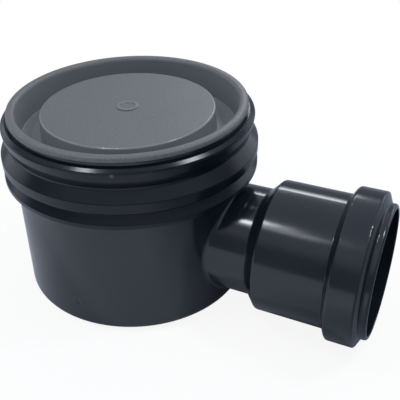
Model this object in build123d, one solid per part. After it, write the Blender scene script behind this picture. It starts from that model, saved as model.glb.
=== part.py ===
"""Trap body of a shower drain: a round pot with a side outlet, its seals, its insert and its lid.

Millimetres. The origin is the centre of the pot's flat base, +Z runs up the pot's axis and +X runs
along the outlet. Outlines round the pot are (radius, height), and outlines round the outlet are
(distance from the pot's axis, radius). The third number of a corner is its rounding.
"""
from build123d import *
import os
from math import radians, tan

os.makedirs("parts", exist_ok=True)

# Pot
pot_radius = 49.5
pot_draft = 0.5
pot_wall = 2.5
pot_floor = 3.0
base_fillet = 1.6
floor_fillet = 3.0
rim_rounding = 0.4

rim_radius = pot_radius + pot_draft
bore_radius = rim_radius - pot_wall

# Ribs on the pot's inner wall, whose tops carry the insert
rib_count = 6
rib_depth = 3.6
rib_thickness = 2.0
insert_seat_rise = 7.0

# Sleeve with three rings round the pot's top, from its top edge down
neck_to_sleeve = 4.1
sleeve_drop = 1.8
seat_depth = 0.8
seat_clearance = 0.1
rim_setback = 0.3
sleeve_top_stand = 0.8
ring_1_stand = 2.8
ring_1_draft = 0.5
ring_2_stand = 4.3
ring_3_stand = 4.2
groove_1_stand = 0.8
groove_2_stand = 1.9
shoulder_height = 1.2
ring_1_land = 3.2
ring_1_taper = 3.8
groove_1_land = 0.8
ring_2_slope = 4.1
ring_2_land = 3.9
ring_2_undercut = 2.0
ring_3_slope = 3.3
ring_3_land = 1.8

seat_radius = rim_radius - seat_depth
sleeve_height = (
    shoulder_height + ring_1_land + ring_1_taper + groove_1_land
    + ring_2_slope + ring_2_land + ring_2_undercut + ring_3_slope + ring_3_land
)

# Outlet, sized for a 50 mm drain pipe
outlet_height = 26.4
neck_radius = 22.6
neck_wall = 2.3
neck_length = 12.2
neck_fillet = 2.0
shoulder_angle = 48.0
shoulder_rounding = 1.2
pipe_radius = 25.0
pipe_clearance = 0.3
socket_wall = 2.2
socket_length = 27.4
bead_rise = 3.8
bead_wall = 2.2
bead_flank = 2.0
bead_length = 12.6
bead_left_rounding = 1.5
bead_right_rounding = 0.9
seal_chamber_width = 7.7
lip_drop = 0.3
lip_fillet = 0.6
lip_length = 4.4
lip_rounding = 1.2
mouth_clearance = 0.5
mouth_chamfer = 0.3

neck_bore = neck_radius - neck_wall
neck_end = pot_radius + neck_length
socket_bore = pipe_radius + pipe_clearance
socket_radius = socket_bore + socket_wall
bead_radius = socket_radius + bead_rise
lip_radius = socket_radius - lip_drop
mouth_radius = pipe_radius + mouth_clearance
shoulder_end = neck_end + (socket_radius - neck_radius) / tan(radians(shoulder_angle))
bore_shoulder_start = neck_end + 0.35 * neck_wall
bore_start = bore_shoulder_start + (socket_bore - neck_bore) / tan(radians(shoulder_angle))
bore_end = bore_start + socket_length
bead_start = bore_end - 0.35 * bead_wall
bead_end = bead_start + bead_length
outlet_end = bead_end + lip_length
chamber_radius = bead_radius - bead_wall
chamber_start = bore_end + 0.9 * bead_flank
chamber_end = chamber_start + seal_chamber_width

# Heights that follow from the outlet
sleeve_bottom = outlet_height + neck_radius + neck_to_sleeve
sleeve_top = sleeve_bottom + sleeve_height
pot_height = sleeve_top + sleeve_drop
insert_seat_height = outlet_height + neck_radius + insert_seat_rise

# Lip seal in the socket's bead
seal_clearance = 0.1
seal_lip_clearance = 0.15
seal_body_height = 1.7
seal_lip_width = 1.0

# Blanking lid
flange_thickness = 2.2
lid_wall = 1.5
trough_depth = 12.9
trough_draft = 0.5
trough_width = 8.6
disc_draft = 0.4
disc_depth = 3.5
disc_rounding = 0.8
plug_clearance = 0.3
nub_radius = 4.5
nub_height = 0.5
nub_dish_radius = 3.3
nub_dish_depth = 0.4

lid_top = pot_height + flange_thickness
trough_floor = lid_top - trough_depth
disc_top = lid_top - disc_depth
plug_radius = bore_radius - plug_clearance
trough_radius = plug_radius - lid_wall
disc_radius = trough_radius - trough_width - disc_draft

# Insert: funnel flange, dip tube, cup and flange seal
insert_clearance = 0.5
insert_edge_height = 4.6
insert_edge_width = 4.0
insert_wall = 2.0
ring_groove_depth = 2.1
ring_groove_width = 2.6
ring_clearance = 0.05
funnel_drop = 3.0
tube_radius = 18.0
tube_lift = 6.0
catch_lift = 9.0
catch_rise = 0.9
catch_width = 1.5
finger_bar_width = 5.0
finger_bar_height = 3.0
cup_radius = 29.0
cup_lift = 2.0
cup_rim_drop = 10.0
cup_floor_fillet = 2.5
fin_count = 3
fin_thickness = 1.8
fin_drop = 8.0
fin_clearance = 0.05

insert_radius = bore_radius - insert_clearance
insert_top = insert_seat_height + insert_edge_height
ring_groove_radius = insert_radius - ring_groove_depth
ring_groove_bottom = insert_seat_height + (insert_edge_height - ring_groove_width) / 2
ring_groove_top = ring_groove_bottom + ring_groove_width
tube_bore = tube_radius - insert_wall
tube_top = insert_seat_height - funnel_drop
cup_bore = cup_radius - insert_wall
cup_bottom = pot_floor + cup_lift
cup_rim = insert_seat_height - cup_rim_drop
fin_top = cup_rim - fin_drop
tube_bottom = cup_bottom + insert_wall + tube_lift
catch_height = tube_bottom + catch_lift


def section(corners):
    """Flat face in the XZ plane from (across, up, rounding) corners."""
    points = [(across, up) for across, up, rounding in corners]
    roundings = [rounding for across, up, rounding in corners]
    return Plane.XZ * make_face(FilletPolyline(*points, radius=roundings, close=True).edges())


def turned(corners):
    """Solid of revolution about the pot's axis."""
    return revolve(section(corners), Axis.Z)


def turned_on_outlet(corners):
    """Solid of revolution about the outlet's axis."""
    raised = Pos(0, 0, outlet_height) * section(corners)
    return revolve(raised, Axis((0, 0, outlet_height), (1, 0, 0)))


def radial_plate(inner, outer, thickness, bottom, top, angle):
    """Upright plate that runs from the inner to the outer radius."""
    plate = Box(outer - inner, thickness, top - bottom, align=(Align.MIN, Align.CENTER, Align.MIN))
    return Rot(0, 0, angle) * Pos(inner, 0, bottom) * plate


def pot_outer():
    """Outside of the pot, with the seat of the sleeve cut in below the rim."""
    wall_radius = pot_radius + pot_draft * sleeve_bottom / pot_height
    return turned([
        (0, 0, 0),
        (pot_radius, 0, base_fillet),
        (wall_radius, sleeve_bottom, 0),
        (seat_radius, sleeve_bottom, 0),
        (seat_radius, sleeve_top, 0),
        (rim_radius - rim_setback, sleeve_top, 0),
        (rim_radius - rim_setback, pot_height, rim_rounding),
        (0, pot_height, 0),
    ])


def outlet_outer():
    """Outside of the outlet: neck, shoulder, socket, bead and end lip."""
    return turned_on_outlet([
        (0.5 * pot_radius, 0, 0),
        (0.5 * pot_radius, neck_radius, 0),
        (neck_end, neck_radius, shoulder_rounding),
        (shoulder_end, socket_radius, shoulder_rounding),
        (bead_start, socket_radius, 0.4 * shoulder_rounding),
        (bead_start + bead_flank, bead_radius, bead_left_rounding),
        (bead_end, bead_radius, bead_right_rounding),
        (bead_end + 0.44 * (bead_radius - lip_radius), lip_radius, lip_fillet),
        (outlet_end, lip_radius, lip_rounding),
        (outlet_end, 0, 0),
    ])


def pot_cavity():
    """Inside of the pot: a straight bore above the insert's seat and a drafted wall below it."""
    return turned([
        (0, pot_floor, 0),
        (bore_radius - pot_draft, pot_floor, floor_fillet),
        (bore_radius, insert_seat_height, 0),
        (bore_radius, pot_height - rim_rounding, 0),
        (bore_radius + rim_rounding, pot_height, 0),
        (bore_radius + rim_rounding, pot_height + pot_floor, 0),
        (0, pot_height + pot_floor, 0),
    ])


def outlet_bore():
    """Inside of the outlet: waterway, pipe stop, plain bore, seal chamber and chamfered mouth."""
    return turned_on_outlet([
        (0.5 * pot_radius, 0, 0),
        (0.5 * pot_radius, neck_bore, 0),
        (bore_shoulder_start, neck_bore, 0),
        (bore_start, socket_bore, 0),
        (bore_end, socket_bore, 0),
        (chamber_start, chamber_radius, 0),
        (chamber_end, chamber_radius, 0),
        (bead_end, mouth_radius, 0),
        (outlet_end - mouth_chamfer, mouth_radius, 0),
        (outlet_end, mouth_radius + mouth_chamfer, 0),
        (outlet_end + mouth_chamfer, mouth_radius + mouth_chamfer, 0),
        (outlet_end + mouth_chamfer, 0, 0),
    ])


def joint_curve(solid):
    """Edges where the neck's outside meets the pot's wall."""
    return [
        edge for edge in solid.edges()
        if edge.geom_type not in (GeomType.LINE, GeomType.CIRCLE) and edge.center().X > 0.5 * pot_radius
    ]


def seat_ribs():
    """Upright ribs inside the pot, spaced clear of the outlet."""
    step = 360 / rib_count
    return [
        radial_plate(bore_radius - rib_depth, bore_radius + 0.3 * pot_wall, rib_thickness,
                     0.5 * pot_floor, insert_seat_height, (number + 0.5) * step)
        for number in range(rib_count)
    ]


def trap_body():
    """The moulding: pot and outlet in one piece."""
    outside = pot_outer() + outlet_outer()
    outside = fillet(joint_curve(outside), neck_fillet)
    body = outside - pot_cavity()
    for rib in seat_ribs():
        body += rib
    return body - outlet_bore()


def collar_lip_seal():
    """Rubber sleeve on the pot's upper end, with three rings that seal in the channel's collar."""
    inner = seat_radius + seat_clearance
    ring_1_top = sleeve_top - shoulder_height
    ring_1_bottom = ring_1_top - ring_1_land
    groove_1_top = ring_1_bottom - ring_1_taper
    groove_1_bottom = groove_1_top - groove_1_land
    ring_2_top = groove_1_bottom - ring_2_slope
    ring_2_bottom = ring_2_top - ring_2_land
    groove_2 = ring_2_bottom - ring_2_undercut
    ring_3_top = groove_2 - ring_3_slope
    return turned([
        (inner, sleeve_bottom, 0),
        (rim_radius + ring_3_stand, sleeve_bottom, 0.2),
        (rim_radius + ring_3_stand, ring_3_top, 0.5),
        (rim_radius + groove_2_stand, groove_2, 0.3),
        (rim_radius + ring_2_stand, ring_2_bottom, 0.5),
        (rim_radius + ring_2_stand, ring_2_top, 0.8),
        (rim_radius + groove_1_stand, groove_1_bottom, 0.3),
        (rim_radius + groove_1_stand, groove_1_top, 0.3),
        (rim_radius + ring_1_stand - ring_1_draft, ring_1_bottom, 0.8),
        (rim_radius + ring_1_stand, ring_1_top, 0.8),
        (rim_radius + sleeve_top_stand, sleeve_top, 0.6),
        (inner, sleeve_top, 0),
    ])


def blanking_lid():
    """Matte lid: rounded rim on the pot's rim, sunk trough and raised centre disc."""
    underside = trough_floor - lid_wall
    disc_foot = disc_radius + disc_draft
    lid = turned([
        (0, disc_top, 0),
        (disc_radius, disc_top, disc_rounding),
        (disc_foot, trough_floor, 0.5),
        (trough_radius, trough_floor, 0.6),
        (trough_radius + trough_draft, lid_top, 1.6),
        (rim_radius, lid_top, 1.2),
        (rim_radius, pot_height, 0.2),
        (plug_radius, pot_height, 0),
        (plug_radius, underside, 1.5),
        (disc_foot - lid_wall, underside, 0.5),
        (disc_radius - lid_wall, disc_top - lid_wall, 0),
        (0, disc_top - lid_wall, 0),
    ])
    nub_top = disc_top + nub_height
    nub = turned([
        (0, disc_top - 0.5 * lid_wall, 0),
        (nub_radius, disc_top - 0.5 * lid_wall, 0),
        (nub_radius, nub_top, 0.5 * nub_height),
        (nub_dish_radius, nub_top, 0),
        (nub_dish_radius - nub_dish_depth, nub_top - nub_dish_depth, 0),
        (0, nub_top - nub_dish_depth, 0),
    ])
    return lid + nub


def trap_dip_tube():
    """Funnel flange on the seat ribs, with the dip tube and a finger bar across its mouth."""
    edge_inner = insert_radius - insert_edge_width
    funnel = turned([
        (tube_bore, tube_bottom, 0),
        (tube_radius, tube_bottom, 0),
        (tube_radius, catch_height, 0),
        (tube_radius + catch_rise, catch_height + 0.5 * catch_width, 0),
        (tube_radius, catch_height + catch_width, 0),
        (tube_radius, tube_top - insert_wall, 1.5),
        (edge_inner, insert_seat_height, 0),
        (insert_radius, insert_seat_height, 0),
        (insert_radius, ring_groove_bottom, 0),
        (ring_groove_radius, ring_groove_bottom, 0),
        (ring_groove_radius, ring_groove_top, 0),
        (insert_radius, ring_groove_top, 0),
        (insert_radius, insert_top, 0.3),
        (edge_inner, insert_top, 0.3),
        (edge_inner - 0.5 * insert_wall, insert_seat_height + insert_wall, 1.0),
        (tube_bore, tube_top, 1.5),
    ])
    bar = Pos(0, 0, tube_top - finger_bar_height) * Box(
        2 * tube_bore + insert_wall, finger_bar_width, finger_bar_height,
        align=(Align.CENTER, Align.CENTER, Align.MIN))
    return funnel + bar


def trap_cup():
    """Cup that holds the water seal, with fins that clip over the catch on the dip tube."""
    cup = turned([
        (0, cup_bottom, 0),
        (cup_radius, cup_bottom, cup_floor_fillet),
        (cup_radius, cup_rim, 0.6),
        (cup_bore, cup_rim, 0.6),
        (cup_bore, cup_bottom + insert_wall, 0.6 * cup_floor_fillet),
        (0, cup_bottom + insert_wall, 0),
    ])
    fin_inner = tube_radius + fin_clearance
    for number in range(fin_count):
        angle = number * 360 / fin_count
        cup += radial_plate(fin_inner, cup_bore + 0.5 * insert_wall, fin_thickness,
                            cup_bottom + 0.5 * insert_wall, fin_top, angle)
    catch_room = turned([
        (0, catch_height - 2 * fin_clearance, 0),
        (fin_inner, catch_height - 2 * fin_clearance, 0),
        (fin_inner + catch_rise, catch_height + 0.5 * catch_width, 0),
        (fin_inner, catch_height + catch_width + 2 * fin_clearance, 0),
        (0, catch_height + catch_width + 2 * fin_clearance, 0),
    ])
    return cup - catch_room


def trap_flange_seal():
    """Ring in the groove round the funnel flange, pressed flat against the pot's bore."""
    inner = ring_groove_radius + ring_clearance
    outer = bore_radius - ring_clearance
    bottom = ring_groove_bottom + ring_clearance
    top = ring_groove_top - ring_clearance
    rounding = 0.3 * ring_groove_width
    return turned([
        (inner, bottom, rounding),
        (outer, bottom, rounding),
        (outer, top, rounding),
        (inner, top, rounding),
    ])


def socket_lip_seal():
    """Lip ring in the socket's bead, drawn with its lip as it lies on a pushed-in pipe."""
    start = chamber_start + seal_clearance
    end = chamber_end - seal_clearance
    outer = chamber_radius - seal_clearance
    body_inner = outer - seal_body_height
    lip = pipe_radius + seal_lip_clearance
    lip_start = start + 0.2 * seal_chamber_width
    return turned_on_outlet([
        (start, outer, 0.3),
        (end, outer, 0.3),
        (end, body_inner, 0.3),
        (lip_start + seal_lip_width, lip, 0.3),
        (lip_start, lip, 0.3),
        (start, body_inner, 0.3),
    ])


export_step(trap_body(), "parts/trap_body.step")
export_step(collar_lip_seal(), "parts/collar_lip_seal.step")
export_step(blanking_lid(), "parts/blanking_lid.step")
export_step(trap_dip_tube(), "parts/trap_dip_tube.step")
export_step(trap_cup(), "parts/trap_cup.step")
export_step(trap_flange_seal(), "parts/trap_flange_seal.step")
export_step(socket_lip_seal(), "parts/socket_lip_seal.step")
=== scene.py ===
"""Looks of the shower drain trap body: finishes, small moulding details, soft studio light and camera.

Metres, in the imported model's frame: the origin is the centre of the pot's base, +Z is up the pot's axis
and +X runs along the outlet.
"""
from math import cos, pi, radians, sin

import bpy
from mathutils import Matrix, Vector


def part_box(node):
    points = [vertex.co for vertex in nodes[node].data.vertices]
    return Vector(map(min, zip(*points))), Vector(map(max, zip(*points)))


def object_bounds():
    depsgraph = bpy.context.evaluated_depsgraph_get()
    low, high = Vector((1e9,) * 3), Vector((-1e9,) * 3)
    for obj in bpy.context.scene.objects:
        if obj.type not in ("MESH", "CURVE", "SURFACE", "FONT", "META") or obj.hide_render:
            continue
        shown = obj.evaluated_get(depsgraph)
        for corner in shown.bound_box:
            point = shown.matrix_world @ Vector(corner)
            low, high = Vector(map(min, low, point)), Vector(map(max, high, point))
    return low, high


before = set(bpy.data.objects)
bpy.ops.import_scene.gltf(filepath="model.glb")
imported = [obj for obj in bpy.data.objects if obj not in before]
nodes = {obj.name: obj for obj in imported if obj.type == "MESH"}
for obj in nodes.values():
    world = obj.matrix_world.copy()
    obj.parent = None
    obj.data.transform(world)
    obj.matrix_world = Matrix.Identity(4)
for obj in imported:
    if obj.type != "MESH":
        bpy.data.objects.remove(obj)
cad_low, cad_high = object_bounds()

MM = 0.001
PHOTO_PIXELS = 400
SENSOR_MM = 36.0

# The photograph's camera: distances from the lid's rim centre, angles in degrees, the rest in pixels
CAMERA_FOCAL = 668.4
CAMERA_CENTRE = (165.0, 182.0)
CAMERA_DISTANCE = 278.8 * MM
CAMERA_AZIMUTH = 31.75
CAMERA_ELEVATION = 24.08
CAMERA_YAW = 3.16
CAMERA_PITCH = -31.37
CAMERA_ROLL = -2.75

# Where the part touches what it stands on: the base's far edge and the bead's lowest line
BASE_EDGE = 47.9 * MM
BEAD_FOOT = 96.5 * MM

# Marks of the moulding: a shallow pit on the wall, a light speck on the top ring, a pin mark on the disc
PIT = (-0.1 * MM, -49.6 * MM, 10.8 * MM)
SPECK = (21.0 * MM, -48.2 * MM, 75.3 * MM)
PIN_MARK = (13.2 * MM, -4.5 * MM, 77.7 * MM)
PIN_MARK_RADIUS = 3.9 * MM

UP = (0.0, 0.0, 1.0)

# Refraction of the moulded plastics and of the collar's rubber
PLASTIC_IOR = 1.5
RUBBER_IOR = 1.36

# Noise values that count as a cloud's darkest and lightest
CLOUD_LOW = 0.3
CLOUD_HIGH = 0.7

# Collar: lower and upper height of the top ring's shoulder
SHOULDER_LOW = 75.8 * MM
SHOULDER_HIGH = 77.2 * MM

# Lid: radius of its disc, of the nub in the middle and of its trough, height of the disc and of the rim
DISC_RADIUS = 36.7 * MM
NUB_RADIUS = 4.5 * MM
DISC_HEIGHT = 77.7 * MM
TROUGH_RADIUS = 46.2 * MM
RIM_HEIGHT = 81.2 * MM

# Lid: how much less rough its disc's edge is, and the nub's share of that and of the edge's painted
# highlight
EDGE_GLOSS = 0.30
NUB_SHARE = 0.5

# Colours, linear
BODY_DARK = (0.0066, 0.0096, 0.0150)
BODY_LIGHT = (0.0090, 0.0126, 0.0190)
COLLAR_DARK = (0.0028, 0.0050, 0.0095)
COLLAR_LIGHT = (0.0040, 0.0066, 0.0118)
LID_DARK = (0.100, 0.104, 0.103)
LID_LIGHT = (0.152, 0.157, 0.155)
# Paler colours of the lid's trough and disc wall: painted light standing in for bounce light in the trough
LID_TROUGH_PAINTED_LIGHT = (0.182, 0.192, 0.200)
LID_WALL_PAINTED_LIGHT = (0.235, 0.246, 0.256)
# Lighter colour of the disc's edge and the nub's rim: a painted highlight
LID_EDGE_PAINTED_HIGHLIGHT = (0.22, 0.23, 0.24)
INSERT_DARK = (0.05, 0.053, 0.058)
INSERT_LIGHT = (0.065, 0.069, 0.075)
SEAL_DARK = (0.012, 0.012, 0.013)
SEAL_LIGHT = (0.018, 0.018, 0.02)
ROOM_TINT = (0.90, 0.96, 1.10)
FLOOR_FRONT = (0.92, 0.96, 1.0)
LAMP_TINT = (0.95, 0.99, 1.07)
FLOOR_PAINTED_SHADE = (0.30, 0.33, 0.37)
FLOOR_SEEN = (0.95, 0.95, 0.95)

# Floor: half its width, and the stretches behind and to the right of the part over which it darkens with
# painted shade
FLOOR_HALF = 3.0
DARKER_BEHIND = (-0.03, 0.12)
DARKER_RIGHT = (0.02, 0.09)

# Share of plain white in the floor that the camera sees near the part; the rest keeps a faint shadow,
# which fades out between the two distances from the part's middle
FLOOR_GLOW = 0.9
FLOOR_SHADE_NEAR = 80 * MM
FLOOR_SHADE_FAR = 200 * MM

# Radiance of the room: near the horizon, overhead, and what the pale panels add at both sides behind
ROOM_LOW = 0.28
ROOM_HIGH = 0.72
ROOM_PANELS = 1.0

# Shares of the direction over which the room turns paler overhead, aside and ahead, and the panels end
PALER_OVERHEAD = (0.40, 0.68)
PALER_ASIDE = (0.50, 0.70)
PALER_AHEAD = (0.05, 0.30)
PANELS_TOP = (0.32, 0.48)

# Soft boxes: azimuth from the camera's and elevation in degrees, width and height in metres, radiance
LAMP_DISTANCE = 1.2
LAMPS = {
    "left_box": (-74.0, 63.5, 0.20, 0.14, 26.0),
    "left_skirt": (-58.0, 60.5, 0.24, 0.16, 3.4),
    "right_box": (82.0, 60.0, 0.16, 0.26, 28.0),
    "back_box": (161.0, 31.0, 0.26, 0.20, 10.0),
}

# The photograph's view over the ground: straight ahead and to the right
HEADING = radians(CAMERA_YAW - CAMERA_AZIMUTH)
VIEW_AHEAD = (sin(HEADING), cos(HEADING), 0.0)
VIEW_RIGHT = (cos(HEADING), -sin(HEADING), 0.0)


class Look:
    """A material with its node tree and the shader that its nodes feed."""

    def __init__(self, name):
        self.material = bpy.data.materials.new(name)
        self.material.use_nodes = True
        self.tree = self.material.node_tree
        self.shader = self.tree.nodes["Principled BSDF"]
        self.place = self.add("ShaderNodeTexCoord").outputs["Object"]

    def add(self, kind, **settings):
        """A new node with its input sockets set or linked by name."""
        node = self.tree.nodes.new(kind)
        for key, value in settings.items():
            self.feed(node.inputs[key.replace("_", " ")], value)
        return node

    def feed(self, socket, value):
        """Links an output to the socket, or writes the value on it."""
        if isinstance(value, bpy.types.NodeSocket):
            self.tree.links.new(value, socket)
        else:
            socket.default_value = value

    def noise(self, scale, detail, roughness=0.5):
        """Noise with this many cells a metre."""
        node = self.add("ShaderNodeTexNoise", Vector=self.place, Scale=scale, Detail=detail,
                        Roughness=roughness)
        return node.outputs["Fac"]

    def cloudy(self, scale, detail, low=0.0, high=1.0, roughness=0.5):
        """Value that drifts from low to high in clouds, with this many cells a metre."""
        return self.spread(self.noise(scale, detail, roughness), CLOUD_LOW, CLOUD_HIGH, low, high)

    def spread(self, value, low, high, new_low=0.0, new_high=1.0):
        """Value mapped from low to high onto new_low to new_high, clamped."""
        node = self.add("ShaderNodeMapRange", Value=value, From_Min=low, From_Max=high,
                        To_Min=new_low, To_Max=new_high)
        return node.outputs["Result"]

    def above(self, value, low, high):
        """Share that rises from 0 at low to 1 at high."""
        return self.spread(value, low, high)

    def below(self, value, low, high):
        """Share that falls from 1 at low to 0 at high."""
        return self.spread(value, low, high, 1.0, 0.0)

    def mix(self, share, first, second):
        """Colour between first and second."""
        node = self.tree.nodes.new("ShaderNodeMix")
        node.data_type = "RGBA"
        self.feed(node.inputs["Factor"], share)
        for socket, colour in ((node.inputs["A"], first), (node.inputs["B"], second)):
            self.feed(socket, (*colour, 1.0) if isinstance(colour, tuple) else colour)
        return node.outputs["Result"]

    def along(self, axis):
        """Distance of the place along a unit axis."""
        node = self.tree.nodes.new("ShaderNodeVectorMath")
        node.operation = "DOT_PRODUCT"
        self.feed(node.inputs[0], self.place)
        node.inputs[1].default_value = axis
        return node.outputs["Value"]

    def distance(self, centre):
        """Distance from a point of the part."""
        node = self.tree.nodes.new("ShaderNodeVectorMath")
        node.operation = "DISTANCE"
        self.feed(node.inputs[0], self.place)
        node.inputs[1].default_value = centre
        return node.outputs["Value"]

    def radius(self):
        """Distance of the place from the pot's axis."""
        flat = self.tree.nodes.new("ShaderNodeVectorMath")
        flat.operation = "MULTIPLY"
        self.feed(flat.inputs[0], self.place)
        flat.inputs[1].default_value = (1.0, 1.0, 0.0)
        node = self.tree.nodes.new("ShaderNodeVectorMath")
        node.operation = "LENGTH"
        self.feed(node.inputs[0], flat.outputs["Vector"])
        return node.outputs["Value"]

    def math(self, operation, first, second):
        """Arithmetic on two values."""
        node = self.tree.nodes.new("ShaderNodeMath")
        node.operation = operation
        self.feed(node.inputs[0], first)
        self.feed(node.inputs[1], second)
        return node.outputs["Value"]

    def both(self, first, second):
        """Product of two shares."""
        return self.math("MULTIPLY", first, second)

    def bump(self, height, distance, strength, under=None):
        """Bump normal over another one."""
        node = self.add("ShaderNodeBump", Height=height, Distance=distance, Strength=strength)
        if under is not None:
            self.feed(node.inputs["Normal"], under)
        return node.outputs["Normal"]

    def finish(self, colour, roughness, normal):
        """Feeds the shader."""
        self.feed(self.shader.inputs["Base Color"], colour)
        self.feed(self.shader.inputs["Roughness"], roughness)
        self.feed(self.shader.inputs["Normal"], normal)
        return self.material


def body_material():
    """Glossy blue-black moulding with faint orange peel and one shallow pit."""
    look = Look("moulded_gloss_plastic")
    look.shader.inputs["IOR"].default_value = PLASTIC_IOR
    clouds = look.cloudy(60.0, 3.0)
    smears = look.cloudy(110.0, 3.0, 0.13, 0.17)
    peel = look.bump(look.noise(330.0, 1.0), 0.05 * MM, 0.10)
    pit = look.bump(look.spread(look.distance(PIT), 0.4 * MM, 1.2 * MM), 0.8 * MM, 1.0, peel)
    return look.finish(look.mix(clouds, BODY_DARK, BODY_LIGHT), smears, pit)


def collar_material():
    """Satin dark rubber with a slight swell on the top ring's shoulder and one light speck."""
    look = Look("collar_rubber")
    look.shader.inputs["IOR"].default_value = RUBBER_IOR
    clouds = look.cloudy(80.0, 3.0)
    satin = look.cloudy(160.0, 3.0, 0.18, 0.22)
    grain = look.bump(look.noise(520.0, 2.0), 0.04 * MM, 0.12)
    shoulder = look.above(look.along(UP), SHOULDER_LOW, SHOULDER_HIGH)
    swell = look.bump(shoulder, 0.27 * MM, 1.0, grain)
    colour = look.mix(clouds, COLLAR_DARK, COLLAR_LIGHT)
    speck = look.spread(look.distance(SPECK), 0.3 * MM, 1.0 * MM, 0.5, 0.0)
    return look.finish(look.mix(speck, colour, LID_LIGHT), satin, swell)


def lid_material():
    """Fine matte lid with flow marks and a pin mark, with painted light making its trough paler, and
    glossier on its disc's edge, which also carries a painted highlight.
    """
    look = Look("lid_matte_plastic")
    look.shader.inputs["IOR"].default_value = PLASTIC_IOR
    flow = look.cloudy(45.0, 4.0, 0.4, 0.6, 0.6)
    speckle = look.spread(look.noise(1300.0, 1.0), 0.25, 0.75, -0.4, 0.4)
    clouds = look.math("ADD", flow, speckle)
    matte = look.cloudy(700.0, 2.0, 0.44, 0.50)
    grain = look.bump(look.noise(1400.0, 2.0, 0.5), 0.03 * MM, 0.25)
    away = look.distance(PIN_MARK)
    step = look.spread(away, PIN_MARK_RADIUS - 0.3 * MM, PIN_MARK_RADIUS + 0.3 * MM)
    mark = look.bump(step, 0.06 * MM, 0.6, grain)
    radius = look.radius()
    height = look.along(UP)
    # Where the lid is painted paler with painted light: below the disc's top and down the trough's outer
    # wall
    below_disc = look.below(height, DISC_HEIGHT - 0.8 * MM, DISC_HEIGHT - 0.3 * MM)
    by_wall = look.both(look.above(radius, DISC_RADIUS + 2 * MM, TROUGH_RADIUS - 3 * MM),
                        look.below(height, RIM_HEIGHT - 1.6 * MM, RIM_HEIGHT - 0.6 * MM))
    inside = look.below(radius, TROUGH_RADIUS + 0.3 * MM, TROUGH_RADIUS + 0.6 * MM)
    painted_light_share = look.both(look.math("MAXIMUM", below_disc, by_wall), inside)
    # The disc's edge and the nub's rim: lower roughness, and a painted highlight in their colour
    outer = look.above(radius, DISC_RADIUS - 0.8 * MM, DISC_RADIUS - 0.5 * MM)
    outer = look.both(outer, look.math("SUBTRACT", 1.0, painted_light_share))
    edge_gloss_and_painted_highlight = look.both(outer, look.below(radius, DISC_RADIUS + 0.3 * MM, DISC_RADIUS + 1 * MM))
    nub = look.both(look.above(radius, NUB_RADIUS - 1.3 * MM, NUB_RADIUS - 1 * MM),
                    look.below(radius, NUB_RADIUS + 0.1 * MM, NUB_RADIUS + 0.3 * MM))
    edge_gloss_and_painted_highlight = look.math("ADD", edge_gloss_and_painted_highlight, look.both(nub, NUB_SHARE))
    # Painted light: the disc's wall is painted paler still than the trough floor
    by_disc = look.above(radius, DISC_RADIUS + 0.5 * MM, DISC_RADIUS + 1.5 * MM)
    painted_bounce_light = look.mix(by_disc, LID_WALL_PAINTED_LIGHT, LID_TROUGH_PAINTED_LIGHT)
    colour = look.mix(painted_light_share, look.mix(clouds, LID_DARK, LID_LIGHT), painted_bounce_light)
    # Painted highlight on the disc's edge and the nub's rim
    colour = look.mix(edge_gloss_and_painted_highlight, colour, LID_EDGE_PAINTED_HIGHLIGHT)
    matte = look.math("SUBTRACT", matte, look.both(edge_gloss_and_painted_highlight, EDGE_GLOSS))
    return look.finish(colour, matte, mark)


def insert_material():
    """Plain moulded grey-black insert."""
    look = Look("insert_plastic")
    clouds = look.cloudy(70.0, 3.0)
    satin = look.cloudy(300.0, 3.0, 0.38, 0.5)
    grain = look.bump(look.noise(1600.0, 3.0), 0.04 * MM, 0.3)
    return look.finish(look.mix(clouds, INSERT_DARK, INSERT_LIGHT), satin, grain)


def seal_material():
    """Plain black seal rubber."""
    look = Look("seal_rubber")
    clouds = look.cloudy(120.0, 3.0)
    satin = look.cloudy(500.0, 3.0, 0.42, 0.55)
    grain = look.bump(look.noise(2200.0, 3.0), 0.03 * MM, 0.3)
    return look.finish(look.mix(clouds, SEAL_DARK, SEAL_LIGHT), satin, grain)


def paint(node_name, material):
    """Gives a CAD node its finish."""
    piece = nodes[node_name]
    piece.data.materials.clear()
    piece.data.materials.append(material)


def make_camera():
    """The photograph's camera, pointed and rolled as fitted."""
    pitch = radians(CAMERA_PITCH)
    roll = radians(CAMERA_ROLL)
    ahead = Vector((sin(HEADING) * cos(pitch), cos(HEADING) * cos(pitch), sin(pitch)))
    level_right = ahead.cross(Vector(UP)).normalized()
    level_up = level_right.cross(ahead)
    right = cos(roll) * level_right + sin(roll) * level_up
    up = cos(roll) * level_up - sin(roll) * level_right
    turn = Matrix((right, up, -ahead)).transposed().to_4x4()
    azimuth, elevation = radians(CAMERA_AZIMUTH), radians(CAMERA_ELEVATION)
    offset = Vector((sin(azimuth) * cos(elevation), -cos(azimuth) * cos(elevation), sin(elevation)))
    rim_centre = Vector((0, 0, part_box("blanking_lid")[1].z))

    data = bpy.data.cameras.new("camera")
    data.sensor_width = SENSOR_MM
    data.lens = CAMERA_FOCAL / PHOTO_PIXELS * SENSOR_MM
    data.shift_x = 0.5 - CAMERA_CENTRE[0] / PHOTO_PIXELS
    data.shift_y = CAMERA_CENTRE[1] / PHOTO_PIXELS - 0.5
    data.clip_start = 10 * MM
    camera = bpy.data.objects.new("camera", data)
    camera.matrix_world = Matrix.Translation(rim_centre + CAMERA_DISTANCE * offset) @ turn
    bpy.context.scene.collection.objects.link(camera)
    bpy.context.scene.camera = camera


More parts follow.
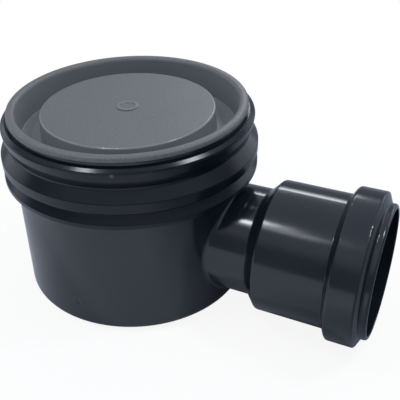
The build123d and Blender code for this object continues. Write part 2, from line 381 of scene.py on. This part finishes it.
def make_floor():
    """Floor that touches the base's far edge and the bead, as the part comes to rest.

    The camera sees it white with a faint shadow. All else sees it pale in front, and dark behind and to the
    right with painted shade.
    """
    drop = -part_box("trap_body")[0].z
    slope = drop / (BASE_EDGE + BEAD_FOOT)
    ends = [(FLOOR_HALF * x, FLOOR_HALF * y) for x, y in ((-1, -1), (1, -1), (1, 1), (-1, 1))]
    corners = [(x, y, -slope * (x + BASE_EDGE)) for x, y in ends]
    mesh = bpy.data.meshes.new("floor")
    mesh.from_pydata(corners, [], [(0, 1, 2, 3)])
    floor = bpy.data.objects.new("floor", mesh)
    bpy.context.scene.collection.objects.link(floor)
    look = Look("floor_paint")
    tree = look.tree
    seen = look.add("ShaderNodeLightPath").outputs["Is Camera Ray"]
    # Painted shade: the floor's colour darkens behind the part and to its right
    behind = look.above(look.along(VIEW_AHEAD), *DARKER_BEHIND)
    shade = look.math("MAXIMUM", behind, look.above(look.along(VIEW_RIGHT), *DARKER_RIGHT))
    floor_colour_with_painted_shade = look.mix(shade, FLOOR_FRONT, FLOOR_PAINTED_SHADE)
    look.feed(look.shader.inputs["Base Color"], look.mix(seen, floor_colour_with_painted_shade, FLOOR_SEEN))
    look.shader.inputs["Roughness"].default_value = 0.9
    look.shader.inputs["Specular IOR Level"].default_value = 0.1
    white = look.add("ShaderNodeEmission", Color=(1, 1, 1, 1), Strength=1.0)
    away = look.distance(((cad_low.x + cad_high.x) / 2, 0.0, 0.0))
    share = look.both(seen, look.spread(away, FLOOR_SHADE_NEAR, FLOOR_SHADE_FAR, FLOOR_GLOW, 1.0))
    blend = look.add("ShaderNodeMixShader", Fac=share)
    tree.links.new(look.shader.outputs[0], blend.inputs[1])
    tree.links.new(white.outputs[0], blend.inputs[2])
    tree.links.new(blend.outputs[0], tree.nodes["Material Output"].inputs["Surface"])
    mesh.materials.append(look.material)


class Room:
    """The world's node tree, with the direction that it is seen in."""

    def __init__(self):
        world = bpy.data.worlds.new("studio")
        bpy.context.scene.world = world
        world.use_nodes = True
        self.tree = world.node_tree
        self.direction = self.tree.nodes.new("ShaderNodeTexCoord").outputs["Generated"]

    def along(self, axis):
        """Share of the direction that lies along an axis."""
        node = self.tree.nodes.new("ShaderNodeVectorMath")
        node.operation = "DOT_PRODUCT"
        self.tree.links.new(self.direction, node.inputs[0])
        node.inputs[1].default_value = axis
        return node.outputs["Value"]

    def ramp(self, value, low, high, new_low, new_high):
        """Value mapped from low to high onto new_low to new_high, eased at both ends."""
        node = self.tree.nodes.new("ShaderNodeMapRange")
        node.interpolation_type = "SMOOTHSTEP"
        self.tree.links.new(value, node.inputs["Value"])
        node.inputs["From Min"].default_value = low
        node.inputs["From Max"].default_value = high
        node.inputs["To Min"].default_value = new_low
        node.inputs["To Max"].default_value = new_high
        return node.outputs["Result"]

    def math(self, operation, first, second=None):
        """Arithmetic on one value or two."""
        node = self.tree.nodes.new("ShaderNodeMath")
        node.operation = operation
        self.tree.links.new(first, node.inputs[0])
        if second is not None:
            self.tree.links.new(second, node.inputs[1])
        return node.outputs["Value"]


def make_world():
    """Dim room, pale overhead and at both sides behind the object. The camera sees it white."""
    room = Room()
    tree = room.tree
    height = room.along(UP)
    ahead = room.along(VIEW_AHEAD)
    aside = room.math("ABSOLUTE", room.along(VIEW_RIGHT))
    overhead = room.ramp(height, *PALER_OVERHEAD, ROOM_LOW, ROOM_HIGH)
    panels = room.ramp(aside, *PALER_ASIDE, 0.0, ROOM_PANELS)
    panels = room.math("MULTIPLY", panels, room.ramp(ahead, *PALER_AHEAD, 0.0, 1.0))
    panels = room.math("MULTIPLY", panels, room.ramp(height, *PANELS_TOP, 1.0, 0.0))
    light = tree.nodes["Background"]
    tree.links.new(room.math("ADD", overhead, panels), light.inputs["Strength"])
    light.inputs["Color"].default_value = (*ROOM_TINT, 1.0)
    seen_white = tree.nodes.new("ShaderNodeBackground")
    seen_white.inputs["Color"].default_value = (1.0, 1.0, 1.0, 1.0)
    path = tree.nodes.new("ShaderNodeLightPath")
    choose = tree.nodes.new("ShaderNodeMixShader")
    tree.links.new(path.outputs["Is Camera Ray"], choose.inputs[0])
    tree.links.new(light.outputs[0], choose.inputs[1])
    tree.links.new(seen_white.outputs[0], choose.inputs[2])
    tree.links.new(choose.outputs[0], tree.nodes["World Output"].inputs["Surface"])


def make_lamp(name, azimuth, elevation, width, height, radiance):
    """Soft box seen from the object at this azimuth and elevation, with its radiance set."""
    data = bpy.data.lights.new(name, "AREA")
    data.shape = "RECTANGLE"
    data.size = width
    data.size_y = height
    data.energy = radiance * pi * width * height
    data.color = LAMP_TINT
    lamp = bpy.data.objects.new(name, data)
    around, above = radians(azimuth), radians(elevation)
    direction = Vector((sin(around) * cos(above), -cos(around) * cos(above), sin(above)))
    middle = (cad_low + cad_high) / 2
    lamp.location = middle + LAMP_DISTANCE * direction
    lamp.rotation_mode = "QUATERNION"
    lamp.rotation_quaternion = direction.to_track_quat("Z", "Y")
    bpy.context.scene.collection.objects.link(lamp)


def make_lamps():
    """Boxes high on the left, with a wide dim skirt, and on the right of the view, and a low one behind."""
    for name, (turn, elevation, width, height, radiance) in LAMPS.items():
        make_lamp(name, CAMERA_AZIMUTH + turn, elevation, width, height, radiance)


paint("trap_body", body_material())
paint("collar_lip_seal", collar_material())
paint("blanking_lid", lid_material())
insert_finish = insert_material()
paint("trap_dip_tube", insert_finish)
paint("trap_cup", insert_finish)
seal_finish = seal_material()
paint("trap_flange_seal", seal_finish)
paint("socket_lip_seal", seal_finish)
make_camera()
make_floor()
make_world()
make_lamps()
bpy.context.scene.view_settings.view_transform = "Standard"
